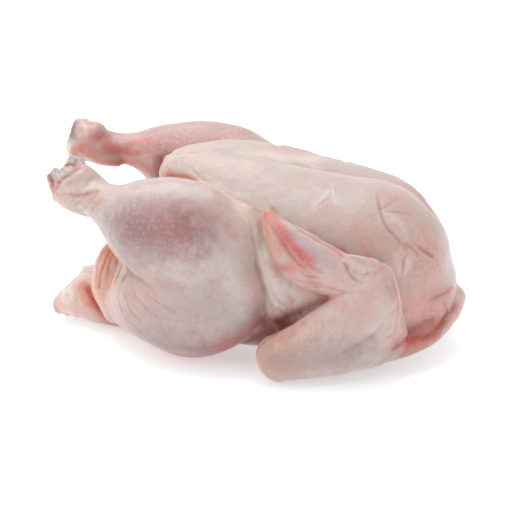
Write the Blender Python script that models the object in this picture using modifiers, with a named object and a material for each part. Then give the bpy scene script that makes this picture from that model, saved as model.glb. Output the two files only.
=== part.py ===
"""A whole raw turkey, plucked and drawn, lying on its back with the breast up.

The legs point back (-X) and the neck end forward (+X); +Y is the bird's left side and +Z is up.
The bird is one piece, so it is one solid. Every muscle is a loft along its bone, in millimetres.
The lofts are fused, hollowed where the bird was drawn, rounded over as skin rounds over flesh,
set down flat on the table, and thinned to an even net of triangles.
"""

import bpy
import numpy as np

MM = 0.001
PARTS, CUTTERS = "whole_raw_turkey", "cutters"

# Driving sizes of the bird, in millimetres, measured from a point on the table under the breast.
BODY_HALF_WIDTH = 94.0
BREAST_TOP = 190.0
KEEL_VALLEY = 17.0
KEEL_DRIFT = 30.0
LEFT_BREAST_RISE = (0, 0, 0, -4, -6, -9, -9, -8)
KEEL_TIP = -99.0
LEG_SPREAD = 61.0
ELBOW = (29.0, 118.0, 25.0)
WRIST = (122.0, 113.0, 106.0)
# How far the middle of the finished bird's box lies in front of that point, and how far its own
# weight presses it into the table.
BOX_MIDDLE = -12.2
SINK = 1.5

# The two sides, right (-1) and left (+1), are not alike: the left leg is pulled further back and up.
RIGHT, LEFT = -1, 1
BOTH = (RIGHT, LEFT)
KNEE = {RIGHT: (-20.0, 86.0, 116.0), LEFT: (-17.0, 86.0, 123.0)}
HOCK = {RIGHT: (-178.0, 167.0), LEFT: (-199.0, 175.0)}
LEG_LIFT = {RIGHT: 3.0, LEFT: 5.0}
LEG_SAG = {RIGHT: 5.0, LEFT: 1.0}
LEG_TUCK = {RIGHT: 0.0, LEFT: 8.0}
HAND_LIFT = {RIGHT: 0.0, LEFT: 17.0}
KNUCKLE_DROP = {RIGHT: 0.0, LEFT: -5.0}
KNUCKLE_REACH = {RIGHT: -9.0, LEFT: -13.0}
# Each gristle knob's place across, out and up from the hock, and its half width.
KNOBS = {
    RIGHT: [(9, -15, 9, 10), (-9, 1, 19, 10), (4, -16, -4, 9)],
    LEFT: [(6, -9, 6, 13), (-3, 10, 10, 14)],
}

# How finely the skin is made.
SIDES = 28
STEPS_PER_RING = 6
CAP_STEPS = 5
FLESH_VOXEL = 4.0 * MM
SKIN_VOXEL = 2.6 * MM
TRIANGLES = 11600


def clear_scene():
    for obj in list(bpy.data.objects):
        bpy.data.objects.remove(obj, do_unlink=True)


def collection(name):
    """The scene's collection of that name, which is made when it is first asked for."""
    if name not in bpy.data.collections:
        bpy.context.scene.collection.children.link(bpy.data.collections.new(name))
    return bpy.data.collections[name]


def spline(knots, steps):
    """Points on a Catmull-Rom curve through the knots, rows being knots."""
    knots = np.asarray(knots, float)
    padded = np.vstack([2 * knots[0] - knots[1], knots, 2 * knots[-1] - knots[-2]])
    t = np.linspace(0, 1, steps, endpoint=False)[:, None]
    pieces = []
    for p0, p1, p2, p3 in zip(padded, padded[1:], padded[2:], padded[3:]):
        straight = 2 * p1 + (p2 - p0) * t
        curved = (2 * p0 - 5 * p1 + 4 * p2 - p3) * t**2 + (3 * p1 - p0 - 3 * p2 + p3) * t**3
        pieces.append(0.5 * (straight + curved))
    return np.vstack(pieces + [knots[-1:]])


def unit(v):
    return v / np.linalg.norm(v, axis=-1, keepdims=True)


def loft(name, rings, across=(0, 1, 0), squareness=2.0, cap=0.8, upright=False, into=PARTS):
    """A closed tube through rings (x, y, z, half_width, half_height) with domed ends.

    half_width is measured along the direction across, half_height square to it and to the path;
    upright rings stand in planes square to X, whatever way the path runs.
    squareness is the exponent of each ring's superellipse: 2 is an ellipse, more is boxier.
    cap is each dome's reach as a share of the end ring's mean half size.
    """
    table = spline(rings, STEPS_PER_RING)
    centre, half = table[:, :3], np.maximum(table[:, 3:5], 1.0)
    tangent = unit(np.gradient(centre, axis=0))
    dome = np.linspace(0, np.pi / 2, CAP_STEPS + 1)[1:]
    for end, way in ((0, -1), (-1, 1)):
        reach = cap * half[end].mean()
        more = centre[end] + way * tangent[end] * reach * np.sin(dome)[:, None]
        shrunk = half[end] * np.maximum(np.cos(dome), 0.03)[:, None]
        flat = np.repeat(tangent[end][None], CAP_STEPS, 0)
        order = slice(None, None, -1) if way < 0 else slice(None)
        parts = [(more[order], centre), (shrunk[order], half), (flat, tangent)]
        centre, half, tangent = (np.vstack(p if way < 0 else p[::-1]) for p in parts)
    if upright:
        tangent = np.tile((1.0, 0.0, 0.0), (len(centre), 1))
    side = unit(across - tangent * (tangent @ np.asarray(across, float))[:, None])
    over = np.cross(tangent, side)
    angle = np.linspace(0, 2 * np.pi, SIDES, endpoint=False)
    bulge = (np.abs(np.cos(angle)) ** squareness + np.abs(np.sin(angle)) ** squareness) ** (-1 / squareness)
    ring = centre[:, None] + side[:, None] * (half[:, :1] * np.cos(angle) * bulge)[..., None]
    ring = ring + over[:, None] * (half[:, 1:] * np.sin(angle) * bulge)[..., None]
    index = np.arange(len(ring) * SIDES).reshape(len(ring), SIDES)
    turned = np.roll(index, -1, axis=1)
    quads = np.stack([index[:-1], turned[:-1], turned[1:], index[1:]], -1).reshape(-1, 4)
    faces = quads.tolist() + [index[0, ::-1].tolist(), index[-1].tolist()]
    mesh = bpy.data.meshes.new(name)
    mesh.from_pydata((ring.reshape(-1, 3) * MM).tolist(), [], faces)
    obj = bpy.data.objects.new(name, mesh)
    collection(into).objects.link(obj)
    return obj


def sided(rings, side):
    """The same rings on one side of the bird."""
    rings = np.array(rings, float)
    rings[:, 1] *= side
    return rings


def trunk():
    """The rib cage and back as one barrel, and the two breast muscles with the keel between them.

    The keel line drifts to the left towards the shoulder, so the right breast is the wider one.
    """
    half = BODY_HALF_WIDTH
    top = BREAST_TOP
    yield loft(
        "barrel",
        [
            (-148, 0, 56, 0.46 * half, 40),
            (-132, 0, 60, 0.64 * half, 51),
            (-105, 0, 68, 0.80 * half, 66),
            (-60, 0, 77, 0.92 * half, 78),
            (0, 0, 82, 0.98 * half, 84),
            (55, 0, 83, 1.00 * half, 85),
            (105, 0, 78, 0.92 * half, 79),
            (142, 0, 71, 0.78 * half, 68),
            (166, 0, 61, 0.56 * half, 46),
        ],
        squareness=2.3,
        cap=0.55,
        upright=True,
    )
    for side in BOTH:
        breast = sided(
            [
                (KEEL_TIP + 6, 11, top - 25, 15, 22),
                (-74, 19, top - 38, 29, 40),
                (-28, 28, top - 57, 51, 60),
                (32, 34, top - 70, 60, 64),
                (82, 34, top - 78, 60, 63),
                (118, 31, top - 81, 54, 61),
                (141, 27, top - 88, 47, 57),
                (160, 22, top - 98, 37, 48),
            ],
            side,
        )
        drift = np.interp(breast[:, 0], (-74, 118), (0, KEEL_DRIFT)) / 2
        breast[:, 1] += drift
        breast[:, 3] -= side * drift
        if side == LEFT:
            breast[:, 2] += LEFT_BREAST_RISE
        yield loft("breast", breast, cap=0.55, upright=True)
    yield loft(
        "keel",
        [
            (KEEL_TIP + 5, 0, top - 34, 16, 26),
            (-40, 0.2 * KEEL_DRIFT, top - 60, 20, 62 - KEEL_VALLEY),
            (50, 0.7 * KEEL_DRIFT, top - 76, 22, 71 - KEEL_VALLEY),
            (125, KEEL_DRIFT, top - 102, 24, 68 - KEEL_VALLEY),
        ],
        upright=True,
    )


def leg(side):
    """Drumstick from hock to knee, and the thigh from the knee back to the hip."""
    hock_x, hock_z = HOCK[side]
    knee_x, knee_y, knee_z = KNEE[side]
    lift = LEG_LIFT[side]
    # Share of the way from hock to knee, half width, half height.
    girth = [
        (0.00, 16, 19),
        (0.13, 16, 18),
        (0.25, 21, 24),
        (0.38, 32, 40),
        (0.58, 41, 54),
        (0.81, 43, 56),
        (1.00, 35, 46),
    ]
    drumstick = [
        (
            hock_x + (knee_x - hock_x) * t,
            LEG_SPREAD + (knee_y - LEG_SPREAD) * np.sin(0.5 * np.pi * min(1.25 * t, 1.0)),
            hock_z + (knee_z + lift - hock_z) * t - LEG_SAG[side] * np.sin(np.pi * t) + 0.7 * tuck,
            width,
            height - tuck,
        )
        for t, width, height in girth
        for tuck in [LEG_TUCK[side] * np.sin(np.pi * np.clip((t - 0.1) / 0.6, 0, 1))]
    ]
    thigh = [
        (-14, 84, 100 + 0.5 * lift, 34, 42),
        (-32, 81, 84, 45, 57),
        (-56, 76, 71, 50, 65),
        (-88, 69, 66, 50, 60),
        (-122, 48, 52, 37, 40),
    ]
    yield loft("drumstick", sided(drumstick, side), cap=0.7)
    yield loft("thigh", sided(thigh, side), cap=0.6)


def hock(side):
    """The knuckle left where the shank was cut off: a swollen joint with knobs of gristle."""
    x, z = HOCK[side]
    y = LEG_SPREAD
    drop = KNUCKLE_DROP[side]
    knuckle = [
        (x + 34, y + 4, z - 16 - 0.5 * drop, 11, 18 + drop),
        (x + 18, y, z - 10 - 0.6 * drop, 16, 22 + drop),
        (x + 4, y, z - 3 - 0.5 * drop, 20, 25 + drop),
        (x + KNUCKLE_REACH[side], y, z + 3, 20, 22 - 0.4 * drop),
    ]
    yield loft("knuckle", sided(knuckle, side), cap=0.35)
    for across, out, rise, girth in KNOBS[side]:
        knob = [
            (x - 6, y + 0.4 * across, z + 4, girth, girth),
            (x + out, y + across, z + rise, girth - 1, girth),
        ]
        yield loft("knob", sided(knob, side))


def wing(side):
    """Upper arm and forearm folded flat against the flank, and the hand lying up the breast."""
    x, y, z = ELBOW
    far_x, far_y, far_z = WRIST
    lift = HAND_LIFT[side]
    wing_parts = {
        "upper_arm": [
            (x, y - 1, z + 1, 20, 22),
            (71, 111, 36, 24, 26),
            (104, 99, 46, 26, 32),
            (124, 84, 52, 24, 34),
        ],
        "shoulder_web": [(52, 86, 86, 16, 32), (88, 92, 78, 20, 38), (114, 90, 70, 19, 36)],
        "forearm": [
            (x, y, z, 20, 22),
            (55, y + 1, 41, 21, 23),
            (80, y + 1, 59, 21, 24),
            (104, y - 1, 79, 20, 25),
            (far_x, far_y, 96, 18, 22),
        ],
        "wrist": [
            (far_x, far_y - 2, far_z + 6, 15, 15),
            (124, 108, 88, 18, 19),
            (124, 101, 64, 20, 19),
            (119, 94, 46, 22, 19),
        ],
        "hand": [
            (far_x - 10, far_y, far_z, 16, 18),
            (92, 113, 110, 14, 21),
            (70, 110, 116, 13, 24),
            (48, 104 - 0.5 * lift, 125 + 0.5 * lift, 12, 25),
            (32 - 0.3 * lift, 97 - 0.7 * lift, 138 + 0.9 * lift, 11, 18),
            (21 - 0.6 * lift, 90 - 0.7 * lift, 149 + lift, 9, 11),
            (16 - 0.8 * lift, 86 - 0.7 * lift, 156 + lift, 6, 6),
        ],
        "thumb": [(118, 115, 122, 8, 8), (105, 119, 127, 7, 7), (96, 119, 130, 5, 5)],
    }
    for name, rings in wing_parts.items():
        yield loft(name, sided(rings, side))


def loose_skin(side):
    """The fold and web between breast and thigh, the keel's lip, the vent's rim and the neck's roll."""
    flank_fold = [
        (KEEL_TIP + 6, 22, 162, 6, 9),
        (-70, 32, 162, 7, 9),
        (-46, 47, 161, 8, 9),
        (-26, 58, 159, 8, 9),
        (-8, 70, 151, 8, 9),
        (4, 81, 138, 8, 9),
        (13, 89, 116, 8, 11),
        (24, 91, 90, 8, 16),
        (38, 89, 64, 7, 22),
        (48, 85, 42, 6, 20),
    ]
    flank_web = [(34, 86, 122, 6, 14), (48, 90, 100, 7, 22), (60, 90, 76, 7, 26), (62, 86, 52, 6, 24)]
    vent_rim = [
        (-126, 66, 122, 8, 9),
        (-135, 64, 108, 14, 12),
        (-143, 58, 90, 20, 16),
        (-150, 48, 64, 24, 17),
        (-147, 34, 36, 23, 15),
    ]
    keel_lip = [
        (KEEL_TIP + 10, 30, 154, 6, 8),
        (KEEL_TIP + 4, 20, 168, 7, 8),
        (KEEL_TIP + 2, 0, 177, 8, 8),
    ]
    neck_roll = [
        (112, 88, 22, 9, 11),
        (140, 72, 27, 11, 13),
        (162, 50, 34, 13, 16),
        (176, 24, 46, 14, 19),
        (180, 0, 52, 14, 20),
    ]
    yield loft("flank_fold", sided(flank_fold, side))
    yield loft("flank_web", sided(flank_web, side))
    yield loft("vent_rim", sided(vent_rim, side))
    yield loft("keel_lip", sided(keel_lip, side), across=(1, 0, 0))
    yield loft("neck_roll", sided(neck_roll, side), across=(0, 0, 1))


def tail():
    """The fleshy tail stump, wide at its root and pinched to a blunt point, with two pads of fat."""
    stump = [
        (-150, 0, 32, 36, 31),
        (-172, 0, 30, 35, 27),
        (-190, 0, 28, 30, 22),
        (-207, 0, 22, 21, 15),
        (-219, 0, 16, 12, 9),
    ]
    fat = [(-156, 22, 43, 13, 12), (-172, 17, 43, 13, 11), (-188, 13, 45, 12, 12), (-199, 10, 33, 11, 10)]
    yield loft("tail", stump, squareness=2.4, cap=0.6)
    for side in BOTH:
        yield loft("tail_fat", sided(fat, side))


def cavity():
    """The cutter for the drawn body's opening: it enters between the thighs, under the keel's tip."""
    rings = [(-192, 0, 142, 42, 26), (-150, 0, 114, 37, 42), (-112, 0, 102, 32, 44), (-60, 0, 90, 30, 36)]
    return loft("cavity", rings, into=CUTTERS)


def fuse(name, parts):
    """One object holding the union of the parts, by a Boolean on a collection that is then removed."""
    operands = collection(name + "_parts")
    first, *rest = parts
    for obj in rest:
        operands.objects.link(obj)
        collection(PARTS).objects.unlink(obj)
    modifier = first.modifiers.new("fuse", "BOOLEAN")
    modifier.operation = "UNION"
    modifier.operand_type = "COLLECTION"
    modifier.collection = operands
    modifier.solver = "MANIFOLD"
    baked(first, name)
    for obj in rest:
        bpy.data.objects.remove(obj, do_unlink=True)
    bpy.data.collections.remove(operands)
    return first


def baked(obj, name):
    """Applies the object's modifiers, and names it."""
    graph = bpy.context.evaluated_depsgraph_get()
    graph.update()
    mesh = bpy.data.meshes.new_from_object(obj.evaluated_get(graph))
    obj.modifiers.clear()
    obj.data = mesh
    obj.name = mesh.name = name
    return obj


def rounded(obj, voxel, factor, repeats):
    """The object remeshed in even cells and smoothed, as skin rounds over what is under it."""
    remesh = obj.modifiers.new("even", "REMESH")
    remesh.mode = "VOXEL"
    remesh.voxel_size = voxel
    smooth = obj.modifiers.new("round", "SMOOTH")
    smooth.factor = factor
    smooth.iterations = repeats
    return baked(obj, obj.name)


def carved(obj, cutter):
    """The object less the cutter, which is removed."""
    cut = obj.modifiers.new("carve", "BOOLEAN")
    cut.operation = "DIFFERENCE"
    cut.object = cutter
    cut.solver = "MANIFOLD"
    baked(obj, obj.name)
    bpy.data.objects.remove(cutter, do_unlink=True)
    return obj


def settled(obj):
    """The bird centred over the origin, and flat at Z = 0 where its own weight presses it down."""
    points = np.empty(3 * len(obj.data.vertices))
    obj.data.vertices.foreach_get("co", points)
    points = points.reshape(-1, 3) - np.array([BOX_MIDDLE, 0, SINK]) * MM
    points[:, 2] = np.maximum(points[:, 2], 0)
    obj.data.vertices.foreach_set("co", points.ravel())
    obj.data.update()
    return obj


def skin_material():
    skin = bpy.data.materials.new("raw_skin")
    skin.use_nodes = True
    surface = skin.node_tree.nodes["Principled BSDF"]
    surface.inputs["Base Color"].default_value = (0.72, 0.50, 0.44, 1)
    surface.inputs["Roughness"].default_value = 0.42
    surface.inputs["Metallic"].default_value = 0.0
    return skin


def main():
    clear_scene()
    flesh = fuse("flesh", [*trunk(), *leg(-1), *leg(1)])
    carved(flesh, cavity())
    rounded(flesh, FLESH_VOXEL, 0.5, 8)
    outer = [*tail()]
    for side in BOTH:
        outer += [*hock(side), *wing(side), *loose_skin(side)]
    turkey = fuse("turkey", [flesh, *outer])
    rounded(turkey, SKIN_VOXEL, 0.5, 5)
    thin = turkey.modifiers.new("thin", "DECIMATE")
    thin.ratio = TRIANGLES / (2 * len(turkey.data.polygons))
    baked(turkey, "turkey")
    settled(turkey)
    turkey.data.materials.clear()
    turkey.data.materials.append(skin_material())
    turkey.data.shade_smooth()


main()
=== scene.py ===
"""The look of a whole raw turkey: one skin over all its muscles, with its folds, follicles and colours.

It is written in the order in which a bird is put together: trunk, legs, wings, loose skin and tail are
fleshed out as tubes in millimetres, and then one skin is drawn over them, creased and coloured.
"""

import math

import bpy
import numpy as np
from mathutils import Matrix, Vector


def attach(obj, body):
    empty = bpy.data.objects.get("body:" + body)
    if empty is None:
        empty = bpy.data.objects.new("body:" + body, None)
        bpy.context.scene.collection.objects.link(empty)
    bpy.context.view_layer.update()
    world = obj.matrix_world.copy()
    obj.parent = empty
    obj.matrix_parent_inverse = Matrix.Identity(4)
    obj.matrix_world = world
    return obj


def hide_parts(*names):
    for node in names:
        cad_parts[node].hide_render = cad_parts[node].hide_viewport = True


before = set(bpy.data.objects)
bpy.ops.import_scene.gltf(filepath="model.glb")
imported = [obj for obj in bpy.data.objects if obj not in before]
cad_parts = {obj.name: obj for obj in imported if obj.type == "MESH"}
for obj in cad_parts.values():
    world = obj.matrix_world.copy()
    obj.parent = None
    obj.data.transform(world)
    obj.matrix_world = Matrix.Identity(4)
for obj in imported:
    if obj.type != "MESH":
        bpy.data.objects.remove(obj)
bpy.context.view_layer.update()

# --------------------
# The view. A long lens stands about a metre and a half from the bird's right side, a little towards
# its neck, and looks 20 degrees down on the breast.
mm = 0.001
LENS = 100.0
VIEW_DISTANCE = 1416.67 * mm
VIEW_TURN = math.radians(10.0)
VIEW_DROP = math.radians(20.0)
LOOK_AT = Vector((12.2, 0.0, 83.5)) * mm
FRAME_PIXELS = 510
SHIFT_PIXELS = 12

towards_lens = Vector(
    (
        math.sin(VIEW_TURN) * math.cos(VIEW_DROP),
        -math.cos(VIEW_TURN) * math.cos(VIEW_DROP),
        math.sin(VIEW_DROP),
    )
)
camera = bpy.data.objects.new("camera", bpy.data.cameras.new("camera"))
camera.data.lens = LENS
camera.data.shift_x = -SHIFT_PIXELS / FRAME_PIXELS
camera.data.clip_end = 20.0
camera.location = LOOK_AT + towards_lens * VIEW_DISTANCE
camera.rotation_euler = (-towards_lens).to_track_quat("-Z", "Y").to_euler()
bpy.context.scene.collection.objects.link(camera)
bpy.context.scene.camera = camera

# --------------------
# The trunk. Back and ribs make one barrel; two long breast muscles lie on it, with the keel bone in
# the valley between them, which runs a little to the left. The barrel presses flat on the table.
# x runs from tail to neck, y from right to left and z up, in mm from the table under the middle.
BODY_HALF_WIDTH = 94.0
BREAST_TOP = 190.0
KEEL_TIP = -99.0
KEEL_VALLEY = 17.0
KEEL_DRIFT = 30.0
# How much higher or lower the left breast's rings lie, from the tail end on.
LEFT_BREAST_RISE = (0, 0, 0, -4, -6, -9, -9, -8)
BOTH = (-1, 1)

SIDES = 56
STEPS = 10
DOME_STEPS = 9
DOME_TIP = 0.03


def spline(knots, steps):
    """Catmull-Rom curve through the knots: each stretch is the cubic that leaves and reaches its two
    knots along the line between their neighbours."""
    knots = np.asarray(knots, float)
    padded = np.vstack([2 * knots[0] - knots[1], knots, 2 * knots[-1] - knots[-2]])
    t = np.linspace(0, 1, steps, endpoint=False)[:, None]
    stretches = []
    for p0, p1, p2, p3 in zip(padded, padded[1:], padded[2:], padded[3:]):
        straight = 2 * p1 + (p2 - p0) * t
        curved = (2 * p0 - 5 * p1 + 4 * p2 - p3) * t**2 + (3 * p1 - p0 - 3 * p2 + p3) * t**3
        stretches.append(0.5 * (straight + curved))
    return np.vstack(stretches + [knots[-1:]])


def unit(v):
    """The vectors at length one."""
    return v / np.linalg.norm(v, axis=-1, keepdims=True)


def tube(rings, across=(0, 1, 0), squareness=2.0, cap=0.8, upright=False):
    """A closed tube through rings (x, y, z, half width, half height): at angle a each ring is the
    superellipse |cos a|^n + |sin a|^n = 1, and each end is a dome that shrinks as the cosine while it
    reaches out as the sine. Returns its points in millimetres and its faces."""
    table = spline(rings, STEPS)
    centre, half = table[:, :3], np.maximum(table[:, 3:5], 1.0)
    tangent = unit(np.gradient(centre, axis=0))
    dome = np.linspace(0, np.pi / 2, DOME_STEPS + 1)[1:]
    for end, way in ((0, -1), (-1, 1)):
        reach = cap * half[end].mean()
        more = centre[end] + way * tangent[end] * reach * np.sin(dome)[:, None]
        shrunk = half[end] * np.maximum(np.cos(dome), DOME_TIP)[:, None]
        flat = np.repeat(tangent[end][None], DOME_STEPS, 0)
        order = slice(None, None, -1) if way < 0 else slice(None)
        parts = [(more[order], centre), (shrunk[order], half), (flat, tangent)]
        centre, half, tangent = (np.vstack(p if way < 0 else p[::-1]) for p in parts)
    if upright:
        tangent = np.tile((1.0, 0.0, 0.0), (len(centre), 1))
    side = unit(across - tangent * (tangent @ np.asarray(across, float))[:, None])
    over = np.cross(tangent, side)
    angle = np.linspace(0, 2 * np.pi, SIDES, endpoint=False)
    bulge = (np.abs(np.cos(angle)) ** squareness + np.abs(np.sin(angle)) ** squareness) ** (-1 / squareness)
    ring = centre[:, None] + side[:, None] * (half[:, :1] * np.cos(angle) * bulge)[..., None]
    ring = ring + over[:, None] * (half[:, 1:] * np.sin(angle) * bulge)[..., None]
    index = np.arange(len(ring) * SIDES).reshape(len(ring), SIDES)
    turned = np.roll(index, -1, axis=1)
    quads = np.stack([index[:-1], turned[:-1], turned[1:], index[1:]], -1).reshape(-1, 4)
    faces = quads.tolist() + [index[0, ::-1].tolist(), index[-1].tolist()]
    return ring.reshape(-1, 3), faces


def sided(rings, side):
    """The same rows on one side of the bird: -1 is its right, +1 its left."""
    rows = np.array(rings, float)
    rows[:, 1] *= side
    return rows


flesh = [
    tube(
        [
            (-148, 0, 56, 0.46 * BODY_HALF_WIDTH, 40),
            (-132, 0, 60, 0.64 * BODY_HALF_WIDTH, 51),
            (-105, 0, 68, 0.80 * BODY_HALF_WIDTH, 66),
            (-60, 0, 77, 0.92 * BODY_HALF_WIDTH, 78),
            (0, 0, 82, 0.98 * BODY_HALF_WIDTH, 84),
            (55, 0, 83, 1.00 * BODY_HALF_WIDTH, 85),
            (105, 0, 78, 0.92 * BODY_HALF_WIDTH, 79),
            (142, 0, 71, 0.78 * BODY_HALF_WIDTH, 68),
            (166, 0, 61, 0.56 * BODY_HALF_WIDTH, 46),
        ],
        squareness=2.3,
        cap=0.55,
        upright=True,
    ),
    tube(
        [
            (KEEL_TIP + 5, 0, BREAST_TOP - 34, 16, 26),
            (-40, 6, BREAST_TOP - 60, 20, 62 - KEEL_VALLEY),
            (50, 20, BREAST_TOP - 76, 22, 71 - KEEL_VALLEY),
            (125, KEEL_DRIFT, BREAST_TOP - 102, 24, 68 - KEEL_VALLEY),
        ],
        upright=True,
    ),
]
for side in BOTH:
    breast = [
        (KEEL_TIP + 6, 11, BREAST_TOP - 25, 15, 22),
        (-74, 19, BREAST_TOP - 38, 29, 40),
        (-28, 28, BREAST_TOP - 57, 51, 60),
        (32, 34, BREAST_TOP - 70, 60, 64),
        (82, 34, BREAST_TOP - 78, 60, 63),
        (118, 31, BREAST_TOP - 81, 54, 61),
        (141, 27, BREAST_TOP - 88, 47, 57),
        (160, 22, BREAST_TOP - 98, 37, 48),
    ]
    breast = sided(breast, side)
    drift = np.interp(breast[:, 0], (-74, 118), (0, KEEL_DRIFT)) / 2
    breast[:, 1] += drift
    breast[:, 3] -= side * drift
    if side > 0:
        breast[:, 2] += LEFT_BREAST_RISE
    flesh.append(tube(breast, cap=0.55, upright=True))

# --------------------
# The legs. Each drumstick points back and up from the knee, and the thigh folds under it to the hip.
# The shank was cut off at the hock, which leaves a swollen knuckle with two knobs of gristle.
LEG_SPREAD = 61.0
KNEE = {-1: (-20.0, 86.0, 116.0), 1: (-17.0, 86.0, 123.0)}
HOCK = {-1: (-178.0, 167.0), 1: (-199.0, 175.0)}
LEG_LIFT = {-1: 3.0, 1: 5.0}
LEG_SAG = {-1: 5.0, 1: 1.0}
LEG_TUCK = {-1: 0.0, 1: 8.0}
# Share of the way from hock to knee, half width, half height.
DRUMSTICK_GIRTH = [
    (0.00, 16, 19),
    (0.13, 16, 18),
    (0.25, 21, 24),
    (0.38, 32, 40),
    (0.58, 41, 54),
    (0.81, 43, 56),
    (1.00, 35, 46),
]

# Each knob's place across, out and up from the hock, and its half width.
KNOBS = {
    -1: [(9, -15, 9, 10), (-9, 1, 19, 10), (4, -16, -4, 9)],
    1: [(6, -9, 6, 13), (-3, 10, 10, 14)],
}
KNUCKLE_DROP = {-1: 0.0, 1: -5.0}
KNUCKLE_REACH = {-1: -9.0, 1: -13.0}

outer = []
for side in BOTH:
    (hock_x, hock_z), (knee_x, knee_y, knee_z), lift = HOCK[side], KNEE[side], LEG_LIFT[side]
    drumstick = [
        (
            hock_x + (knee_x - hock_x) * t,
            LEG_SPREAD + (knee_y - LEG_SPREAD) * math.sin(0.5 * math.pi * min(1.25 * t, 1.0)),
            hock_z + (knee_z + lift - hock_z) * t - LEG_SAG[side] * math.sin(math.pi * t) + 0.7 * tuck,
            width,
            height - tuck,
        )
        for t, width, height in DRUMSTICK_GIRTH
        for tuck in [LEG_TUCK[side] * np.sin(np.pi * np.clip((t - 0.1) / 0.6, 0, 1))]
    ]
    thigh = [
        (-14, 84, 100 + 0.5 * lift, 34, 42),
        (-32, 81, 84, 45, 57),
        (-56, 76, 71, 50, 65),
        (-88, 69, 66, 50, 60),
        (-122, 48, 52, 37, 40),
    ]
    drop = KNUCKLE_DROP[side]
    knuckle = [
        (hock_x + 34, LEG_SPREAD + 4, hock_z - 16 - 0.5 * drop, 11, 18 + drop),
        (hock_x + 18, LEG_SPREAD, hock_z - 10 - 0.6 * drop, 16, 22 + drop),
        (hock_x + 4, LEG_SPREAD, hock_z - 3 - 0.5 * drop, 20, 25 + drop),
        (hock_x + KNUCKLE_REACH[side], LEG_SPREAD, hock_z + 3, 20, 22 - 0.4 * drop),
    ]
    flesh.append(tube(sided(drumstick, side), cap=0.7))
    flesh.append(tube(sided(thigh, side), cap=0.6))
    outer.append(tube(sided(knuckle, side), cap=0.35))
    for across, out, rise, girth in KNOBS[side]:
        knob = [
            (hock_x - 6, LEG_SPREAD + 0.4 * across, hock_z + 4, girth, girth),
            (hock_x + out, LEG_SPREAD + across, hock_z + rise, girth - 1, girth),
        ]
        outer.append(tube(sided(knob, side), cap=0.8))

# --------------------
# The wings. Upper arm and forearm fold flat against the flank with the elbow on the table, a web of
# skin joins them to the shoulder, and the hand lies up the breast with its thumb at the wrist.
ELBOW = (29.0, 118.0, 25.0)
WRIST = (122.0, 113.0, 106.0)
HAND_LIFT = {-1: 0.0, 1: 17.0}

for side in BOTH:
    (x, y, z), (far_x, far_y, far_z) = ELBOW, WRIST
    lift = HAND_LIFT[side]
    wing = {
        "upper_arm": [
            (x, y - 1, z + 1, 20, 22),
            (71, 111, 36, 24, 26),
            (104, 99, 46, 26, 32),
            (124, 84, 52, 24, 34),
        ],
        "shoulder_web": [(52, 86, 86, 16, 32), (88, 92, 78, 20, 38), (114, 90, 70, 19, 36)],
        "forearm": [
            (x, y, z, 20, 22),
            (55, y + 1, 41, 21, 23),
            (80, y + 1, 59, 21, 24),
            (104, y - 1, 79, 20, 25),
            (far_x, far_y, 96, 18, 22),
        ],
        "wrist": [
            (far_x, far_y - 2, far_z + 6, 15, 15),
            (124, 108, 88, 18, 19),
            (124, 101, 64, 20, 19),
            (119, 94, 46, 22, 19),
        ],
        "hand": [
            (far_x - 10, far_y, far_z, 16, 18),
            (92, 113, 110, 14, 21),
            (70, 110, 116, 13, 24),
            (48, 104 - 0.5 * lift, 125 + 0.5 * lift, 12, 25),
            (32 - 0.3 * lift, 97 - 0.7 * lift, 138 + 0.9 * lift, 11, 18),
            (21 - 0.6 * lift, 90 - 0.7 * lift, 149 + lift, 9, 11),
            (16 - 0.8 * lift, 86 - 0.7 * lift, 156 + lift, 6, 6),
        ],
        "thumb": [(118, 115, 122, 8, 8), (105, 119, 127, 7, 7), (96, 119, 130, 5, 5)],
    }
    outer += [tube(sided(rings, side)) for rings in wing.values()]

# --------------------
# Loose skin. A fold runs from the keel's tip down between breast and thigh, a rim stands round the
# vent, and a roll of neck skin closes the shoulder end. All of it is skin over fat, soft and rounded.
for side in BOTH:
    flank_fold = [
        (KEEL_TIP + 6, 22, 162, 6, 9),
        (-70, 32, 162, 7, 9),
        (-46, 47, 161, 8, 9),
        (-26, 58, 159, 8, 9),
        (-8, 70, 151, 8, 9),
        (4, 81, 138, 8, 9),
        (13, 89, 116, 8, 11),
        (24, 91, 90, 8, 16),
        (38, 89, 64, 7, 22),
        (48, 85, 42, 6, 20),
    ]
    flank_web = [(34, 86, 122, 6, 14), (48, 90, 100, 7, 22), (60, 90, 76, 7, 26), (62, 86, 52, 6, 24)]
    keel_lip = [(KEEL_TIP + 10, 30, 154, 6, 8), (KEEL_TIP + 4, 20, 168, 7, 8), (KEEL_TIP + 2, 0, 177, 8, 8)]
    vent_rim = [
        (-126, 66, 122, 8, 9),
        (-135, 64, 108, 14, 12),
        (-143, 58, 90, 20, 16),
        (-150, 48, 64, 24, 17),
        (-147, 34, 36, 23, 15),
    ]
    neck_roll = [
        (112, 88, 22, 9, 11),
        (140, 72, 27, 11, 13),
        (162, 50, 34, 13, 16),
        (176, 24, 46, 14, 19),
        (180, 0, 52, 14, 20),
    ]
    outer.append(tube(sided(flank_fold, side)))
    outer.append(tube(sided(flank_web, side)))
    outer.append(tube(sided(keel_lip, side), across=(1, 0, 0)))
    outer.append(tube(sided(vent_rim, side)))
    outer.append(tube(sided(neck_roll, side), across=(0, 0, 1)))

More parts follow.
